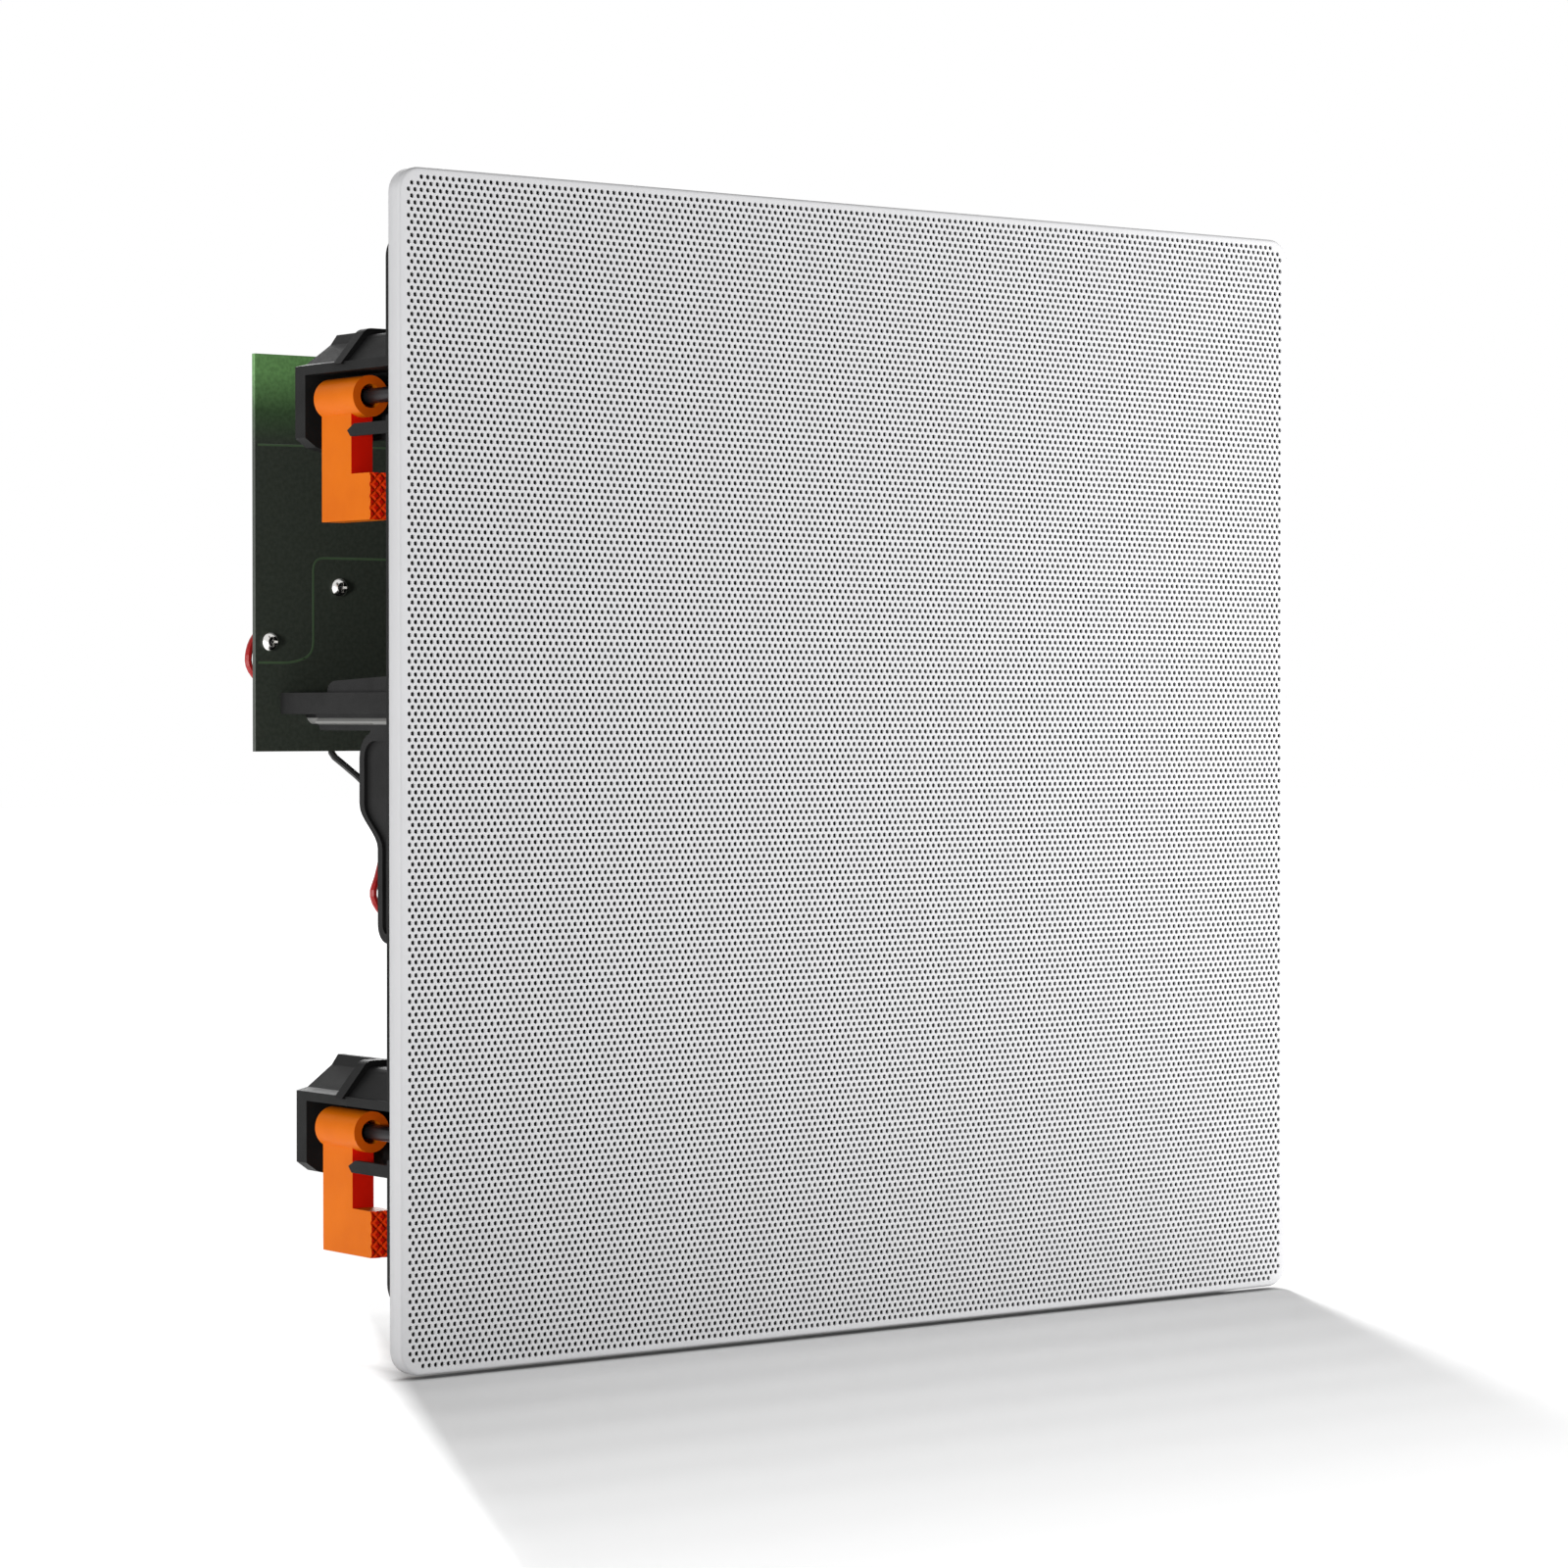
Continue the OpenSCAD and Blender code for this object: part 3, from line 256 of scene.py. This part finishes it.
M = {
    "grille": surface("powder_coat", (0.62, 0.62, 0.63), 0.55, mottle=0.012, bump=0.12, bump_mm=0.5, specular=0.3),
    "frame": surface("black_plastic", (0.011, 0.011, 0.011), 0.5, mottle=0.25, bump=0.3, bump_mm=0.35,
                     specular=0.07),
    "clamp_screw": surface("black_oxide", (0.02, 0.02, 0.022), 0.38, metallic=0.7, mottle=0.3, bump=0.2,
                           specular=0.3),
    "magnet_plate": surface("nickel", (0.62, 0.61, 0.59), 0.26, metallic=1.0, mottle=0.05, bump=0.05),
    "gasket": surface("foam", (0.015, 0.015, 0.015), 0.95, mottle=0.3, bump=0.8, bump_mm=0.8, specular=0.1),
    "basket": surface("black_paint", (0.015, 0.015, 0.017), 0.4, mottle=0.15, bump=0.25, bump_mm=0.6,
                      specular=0.3),
    "cone": surface("polypropylene", (0.016, 0.016, 0.018), 0.45, mottle=0.25, bump=0.3, bump_mm=1.2,
                    specular=0.3),
    "surround": surface("rubber_roll", (0.010, 0.010, 0.010), 0.6, mottle=0.2, bump=0.15, bump_mm=0.6,
                        specular=0.25),
    "spider": surface("treated_cloth", (0.40, 0.26, 0.07), 0.85, mottle=0.25, bump=0.9, bump_mm=0.9,
                      specular=0.1),
    "coil_wire": surface("enamelled_copper", (0.62, 0.22, 0.06), 0.3, metallic=0.85, mottle=0.2, bump=0.3),
    "steel": surface("zinc_steel", (0.46, 0.46, 0.44), 0.36, metallic=1.0, mottle=0.12, bump=0.15,
                     brushed=(1.0, 1.0, 6.0)),
    "ferrite": surface("ferrite", (0.022, 0.022, 0.025), 0.62, mottle=0.35, bump=0.6, bump_mm=0.5,
                       specular=0.3),
    "black_screw": surface("black_zinc", (0.02, 0.02, 0.022), 0.34, metallic=0.7, mottle=0.25, bump=0.15,
                           specular=0.3),
    "bright_screw": surface("bright_nickel", (0.72, 0.71, 0.69), 0.2, metallic=1.0, mottle=0.06, bump=0.06),
    "strip": surface("phenolic", (0.12, 0.045, 0.018), 0.5, mottle=0.35, bump=0.2, specular=0.3),
    "brass": surface("tinned_brass", (0.62, 0.50, 0.28), 0.3, metallic=1.0, mottle=0.15, bump=0.15),
    "tweeter": surface("tweeter_plastic", (0.014, 0.014, 0.016), 0.35, mottle=0.2, bump=0.2, specular=0.3),
    "dome": surface("coated_cloth", (0.022, 0.022, 0.026), 0.5, mottle=0.25, bump=0.6, bump_mm=0.5, sheen=0.3),
    "input_block": surface("block_plastic", (0.012, 0.012, 0.012), 0.4, mottle=0.2, bump=0.2, specular=0.3),
    "lead_red": surface("red_insulation", (0.42, 0.012, 0.012), 0.4, mottle=0.1, bump=0.06, bump_mm=2.0,
                        specular=0.3),
    "lead_black": surface("black_insulation", (0.010, 0.010, 0.010), 0.4, mottle=0.2, bump=0.06, bump_mm=2.0,
                          specular=0.3),
    "film": surface("lacquer", (0.30, 0.018, 0.015), 0.2, mottle=0.12, bump=0.1, bump_mm=1.5),
    "resistor": surface("cement", (0.66, 0.64, 0.58), 0.9, mottle=0.12, bump=0.8, bump_mm=0.6, specular=0.1),
    "trace": surface("mask_over_track", (0.075, 0.125, 0.065), 0.3, mottle=0.1, bump=0.1, specular=0.4),
    "bracket": bracket_material(),
    "dog": dog_material(),
    "scrim": cloth_material(),
    "board": board_material(),
}

for part in frame["record"]["subparts"]:
    obj = nodes[part["node"]]
    obj.data.materials.clear()
    obj.data.materials.append(M[part["material_slot"]])


def new_piece(name, verts, faces, material, body):
    me = bpy.data.meshes.new(name)
    me.from_pydata(verts, [], faces)
    me.update()
    obj = bpy.data.objects.new(name, me)
    scene.collection.objects.link(obj)
    me.materials.append(material)
    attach(obj, body)
    return obj


# Grille: a flat field of hexagonal holes, in four pieces, and a folded rim

grille_lo, grille_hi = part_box("grille")
half = (grille_hi[0] - grille_lo[0]) / 2
front = grille_lo[1]
back = grille_hi[1]
sheet = 0.0008          # thickness of the sheet
corner = 0.0065         # outer radius of the panel's corners
bend = 0.0009           # radius of the fold
pitch = 0.001935        # between the holes of a row
row = pitch * math.sqrt(3) / 2
hole = 0.00068          # radius of a hole's corners
margin = 0.0016         # from the panel's edge to the first hole
wall = 0.0006           # depth of a hole's wall
edge_break = 0.0002     # rounding of the rim's back edge
slack = 0.0002          # by which a hole's centre may pass the margin's line
bands = 4


def outline(h, r, steps=10):
    """A square of half side h whose corners have the radius r."""
    pts = []
    for cx, cz, a0 in ((h - r, h - r, 0), (-h + r, h - r, 90), (-h + r, -h + r, 180), (h - r, -h + r, 270)):
        for k in range(steps + 1):
            a = math.radians(a0 + 90 * k / steps)
            pts.append((cx + r * math.cos(a), cz + r * math.sin(a)))
    return pts


def holds(x, z, h, r):
    """Whether a point lies in that square."""
    dx, dz = abs(x) - (h - r), abs(z) - (h - r)
    if dx > 0 and dz > 0:
        return dx * dx + dz * dz < r * r
    return max(dx, dz) < r


n_row = int((2 * (half - margin - hole)) // row)
n_col = int((2 * (half - margin - hole)) // pitch)
centres = {}
for j in range(n_row + 1):
    odd = j % 2
    for i in range(n_col + 1 - odd):
        x = (i - (n_col - odd) / 2) * pitch
        z = (j - n_row / 2) * row
        if holds(x, z, half - margin - hole + slack, corner):
            centres[(i, j)] = (x, z)

corners6 = [(hole * math.cos(math.radians(30 + 60 * k)), hole * math.sin(math.radians(30 + 60 * k)))
            for k in range(6)]
band_of = {j: min(bands - 1, j * bands // (n_row + 1)) for j in range(n_row + 1)}
flat_faces = [[] for _ in range(bands)]
used_edges = set()


def neighbours(i, j):
    """Right, upper right and upper left holes of a hole."""
    up = i if j % 2 else i - 1
    return (i + 1, j), (up + 1, j + 1), (up, j + 1)


def v(key, k):
    """Corner k of a hole."""
    return (key, k % 6)


def place(vk):
    (x, z), (cx, cz) = centres[vk[0]], corners6[vk[1]]
    return (x + cx, z + cz)


def add_face(band, *vs):
    flat_faces[band].append(vs)
    for a, b in zip(vs, vs[1:] + vs[:1]):
        used_edges.add((a, b))


for key in centres:
    i, j = key
    band = band_of[j]
    right, up_r, up_l = neighbours(i, j)
    if right in centres:
        add_face(band, v(key, 5), v(right, 3), v(right, 2), v(key, 0))
    if up_r in centres:
        add_face(band, v(key, 0), v(up_r, 4), v(up_r, 3), v(key, 1))
    if up_l in centres:
        add_face(band, v(key, 1), v(up_l, 5), v(up_l, 4), v(key, 2))
    if right in centres and up_r in centres:
        add_face(band, v(key, 0), v(right, 2), v(up_r, 4))
    if up_r in centres and up_l in centres:
        add_face(band, v(key, 1), v(up_r, 3), v(up_l, 5))

# The free edges of the lattice and of its outermost holes close one loop, which the border fills to the bend
loop_edges = []
for key in centres:
    for k in range(6):
        a, b = v(key, k), v(key, k + 1)
        if (b, a) not in used_edges and (a, b) not in used_edges:
            loop_edges.append((a, b))
for a, b in used_edges:
    if (b, a) not in used_edges and a[0] != b[0]:
        loop_edges.append((b, a))

loop_ids = {}
border_pts = []
for e in loop_edges:
    for vk in e:
        if vk not in loop_ids:
            loop_ids[vk] = len(border_pts)
            border_pts.append(place(vk))
edges = [(loop_ids[a], loop_ids[b]) for a, b in loop_edges]
ring = outline(half - bend, corner - bend)
n_ring = len(ring)
start = len(border_pts)
border_pts += ring
edges += [(start + k, start + (k + 1) % n_ring) for k in range(n_ring)]
cdt_v, _, cdt_f, *_ = delaunay_2d_cdt([Vector(p) * 1000 for p in border_pts], edges, [], 1, 1e-6)
cdt_xy = np.array([(p.x, p.y) for p in cdt_v]) / 1000
tri = np.array([f[:] for f in cdt_f])

# Of its triangles, those outside the loop stay: a line from them crosses the loop an even number of times
mid = cdt_xy[tri].mean(axis=1)
a_pts = np.array([place(a) for a, b in loop_edges])
b_pts = np.array([place(b) for a, b in loop_edges])
crossings = np.zeros(len(mid), dtype=int)
chunk = 400
for s in range(0, len(mid), chunk):
    px, pz = mid[s:s + chunk, 0:1], mid[s:s + chunk, 1:2]
    over = (a_pts[:, 1] > pz) != (b_pts[:, 1] > pz)
    with np.errstate(divide="ignore", invalid="ignore"):
        xs = a_pts[:, 0] + (pz - a_pts[:, 1]) * (b_pts[:, 0] - a_pts[:, 0]) / (b_pts[:, 1] - a_pts[:, 1])
    crossings[s:s + chunk] = (over & (px < xs)).sum(axis=1)
border_tri = tri[crossings % 2 == 0]

grille_objects = []
for band in range(bands):
    ids, verts, faces = {}, [], []

    def vid(vk, depth):
        k = (vk, depth)
        if k not in ids:
            x, z = place(vk)
            ids[k] = len(verts)
            verts.append((x, front + depth, z))
        return ids[k]

    for f in flat_faces[band]:
        faces.append([vid(x, 0.0) for x in f])
    for key in centres:
        if band_of[key[1]] == band:
            for k in range(6):
                a, b = v(key, k), v(key, k + 1)
                faces.append([vid(a, 0.0), vid(b, 0.0), vid(b, wall), vid(a, wall)])
    grille_objects.append(new_piece(f"grille_field_{band + 1}", verts, faces, M["grille"], "grille"))

# The border, the bend, the folded side and the inside of the sheet, each ring by its inset and depth
turn = [math.radians(a) for a in (0, 18, 36, 54, 72, 90)]
profile = [(bend * (1 - math.sin(a)), front + bend * (1 - math.cos(a))) for a in turn]
profile += [(0.0, back - edge_break), (edge_break, back), (sheet - edge_break, back), (sheet, back - edge_break),
            (sheet, front + sheet)]
verts = [(x, front, z) for x, z in cdt_xy]
faces = [list(map(int, t)) for t in border_tri]
rings = []
for inset, y in profile:
    rings.append(len(verts))
    verts += [(x, y, z) for x, z in outline(half - inset, corner - inset)]
for a, b in zip(rings, rings[1:]):
    for k in range(n_ring):
        faces.append([a + k, a + (k + 1) % n_ring, b + (k + 1) % n_ring, b + k])
rim = new_piece("grille_rim", verts, faces, M["grille"], "grille")
bm = bmesh.new()
bm.from_mesh(rim.data)
bmesh.ops.remove_doubles(bm, verts=bm.verts, dist=1e-6)
bmesh.ops.recalc_face_normals(bm, faces=bm.faces)
for f in bm.faces:
    f.smooth = True
bm.to_mesh(rim.data)
bm.free()
grille_objects.append(rim)
for g in grille_objects:
    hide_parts("grille")

# Two tracks on the board's front: the outline around its screws, and the line under its green edge


def strip_along(name, pts, y, width, lift):
    """A low ridge with sloped sides along the points."""
    verts, faces = [], []
    for i, (x, z) in enumerate(pts):
        a = Vector(pts[max(i - 1, 0)])
        b = Vector(pts[min(i + 1, len(pts) - 1)])
        t = (b - a).normalized()
        side = Vector((-t.y, t.x)) * width / 2
        for share, rise in ((1, 0.0), (0.6, lift), (-0.6, lift), (-1, 0.0)):
            verts.append((x + side.x * share, y - rise, z + side.y * share))
    for i in range(len(pts) - 1):
        for k in range(3):
            faces.append([4 * i + k, 4 * i + k + 1, 4 * i + k + 5, 4 * i + k + 4])
    return new_piece(name, verts, faces, M["trace"], "frame")


def bent(pts, r, steps=5):
    """The points with each inner corner rounded."""
    out = [pts[0]]
    for a, b, c in zip(pts, pts[1:], pts[2:]):
        a, b, c = Vector(a), Vector(b), Vector(c)
        p, q = b + (a - b).normalized() * r, b + (c - b).normalized() * r
        for k in range(steps + 1):
            t = k / steps
            w = p * (1 - t) ** 2 + b * 2 * t * (1 - t) + q * t ** 2
            out.append((w.x, w.y))
    out.append(pts[-1])
    return out


bx, by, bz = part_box("circuit_board")[0]
track_lift = 0.00005
track_bend = 0.0035


def on_board(*places):
    """Points given in mm from the board's lower left corner."""
    return [(bx + x / 1000, bz + z / 1000) for x, z in places]


inner = on_board((100, 54), (18.6, 54), (18.6, 27), (12.5, 24.7), (0.8, 24.7))
strip_along("board_track_inner", bent(inner, track_bend), by, 0.0007, track_lift)
strip_along("board_track_upper", on_board((0.8, 85), (60, 85.6)), by, 0.0006, track_lift)

# Floor

floor_z = grille_lo[2] - 0.0010
shadow_way = Vector((-0.455, -0.890))
me = bpy.data.meshes.new("floor")
me.from_pydata([(-6, -6, floor_z), (6, -6, floor_z), (6, 6, floor_z), (-6, 6, floor_z)], [], [(0, 1, 2, 3)])
floor = bpy.data.objects.new("floor", me)
scene.collection.objects.link(floor)


def seen(nt):
    """1 for rays from the camera, or mirrored or let through by the object."""
    lp = node(nt, "ShaderNodeLightPath")
    total = lp.outputs["Is Camera Ray"]
    for other in ("Is Glossy Ray", "Is Transmission Ray"):
        total = combine(nt, "MAXIMUM", total, lp.outputs[other])
    return total


m, nt, bsdf = new_tree("floor")
# Paler for the light that it throws back at the object than for the eye
tone = node(nt, "ShaderNodeMix", data_type="RGBA")
tone.inputs["A"].default_value = (0.96, 0.96, 0.96, 1.0)
tone.inputs["B"].default_value = (0.76, 0.76, 0.76, 1.0)
nt.links.new(seen(nt), tone.inputs["Factor"])
nt.links.new(tone.outputs["Result"], bsdf.inputs["Base Color"])
bsdf.inputs["Roughness"].default_value = 0.9
bsdf.inputs["Specular IOR Level"].default_value = 0.0
bsdf.inputs["Emission Color"].default_value = (1.0, 1.0, 1.0, 1.0)
# A little glow near the object, where the floor keeps the shadow, and enough for plain white far off
away = node(nt, "ShaderNodeVectorMath", operation="LENGTH")
nt.links.new(place_of(nt), away.inputs[0])
reach = ranged(nt, away.outputs["Value"], 0.55, 1.6, 0.24, 0.60)
# Painted shade: no glow in the crack under the object, so that it stays a dark line
crack = node(nt, "ShaderNodeAmbientOcclusion", samples=6)
crack.inputs["Distance"].default_value = 0.006
open_to = ranged(nt, crack.outputs["AO"], 0.40, 0.80)
# Painted light: the floor glows brighter left of the line in which the panel's shadow ends, as in the photograph,
# so that the shadows of the parts behind the panel fade out there
xyz = node(nt, "ShaderNodeSeparateXYZ")
nt.links.new(place_of(nt), xyz.inputs[0])
across = node(nt, "ShaderNodeMath", operation="MULTIPLY_ADD")
across.inputs[1].default_value = -shadow_way.x / shadow_way.y
nt.links.new(xyz.outputs["Y"], across.inputs[0])
nt.links.new(xyz.outputs["X"], across.inputs[2])
left_of = ranged(nt, across.outputs[0], -half + 0.006, -half - 0.004, 0.0, 0.60)
held = combine(nt, "MULTIPLY", combine(nt, "ADD", reach, left_of), open_to)
nt.links.new(combine(nt, "MULTIPLY", seen(nt), held), bsdf.inputs["Emission Strength"])
floor.data.materials.append(m)

# World: white where it is seen, faint as light

world = bpy.data.worlds.new("world")
scene.world = world
world.use_nodes = True
nt = world.node_tree
bg = nt.nodes["Background"]
bg.inputs["Color"].default_value = (1.0, 1.0, 1.0, 1.0)
nt.links.new(ranged(nt, seen(nt), 0.0, 1.0, 0.22, 1.0), bg.inputs["Strength"])

# Lamps: these light the object alone, and the floor's shadow comes from the light behind

not_floor = bpy.data.collections.new("not_floor")
not_floor.objects.link(floor)
not_floor.collection_objects[0].light_linking.link_state = "EXCLUDE"
only_floor = bpy.data.collections.new("only_floor")
only_floor.objects.link(floor)


def lamp(name, at, target, size, power):
    data = bpy.data.lights.new(name, "AREA")
    data.shape = "DISK"
    data.size = size
    data.energy = power
    obj = bpy.data.objects.new(name, data)
    obj.location = at
    obj.rotation_euler = (Vector(target) - Vector(at)).to_track_quat("-Z", "Y").to_euler()
    obj.light_linking.receiver_collection = not_floor
    obj.visible_camera = False
    scene.collection.objects.link(obj)


lamp("key", (0.6, -0.36, 0.05), (0, 0, 0), 0.35, 5.0)
lamp("side", (-1.4, -0.55, -0.03), (-0.1, 0.05, 0), 0.24, 9.5)
lamp("back", (0.7, 1.5, 0.5), (0, 0.05, 0), 0.8, 10)
lamp("low", (0.0, -0.15, -0.14), (0, 0, -0.15), 0.3, 0.075)

# A tall narrow light above and behind, so that the shadow's sides stay crisp and it fades evenly towards its end
strips = 8
strips_power = 2.61     # of all strips together, as the floor takes it
first_shadow = 0.02     # length of the panel's shadow from the first strip
shadow_step = 0.040     # by which each further strip's shadow is longer
for k in range(strips):
    lift = math.atan2(2 * half, first_shadow + shadow_step * k)
    sun_data = bpy.data.lights.new(f"behind_{k + 1}", "SUN")
    sun_data.energy = strips_power / strips / math.sin(lift)
    sun_data.angle = math.radians(4)
    sun = bpy.data.objects.new(f"behind_{k + 1}", sun_data)
    flat = shadow_way.normalized() * math.cos(lift)
    sun.rotation_euler = Vector((flat.x, flat.y, -math.sin(lift))).to_track_quat("-Z", "Y").to_euler()
    sun.light_linking.receiver_collection = only_floor
    scene.collection.objects.link(sun)

scene.view_settings.view_transform = "Standard"
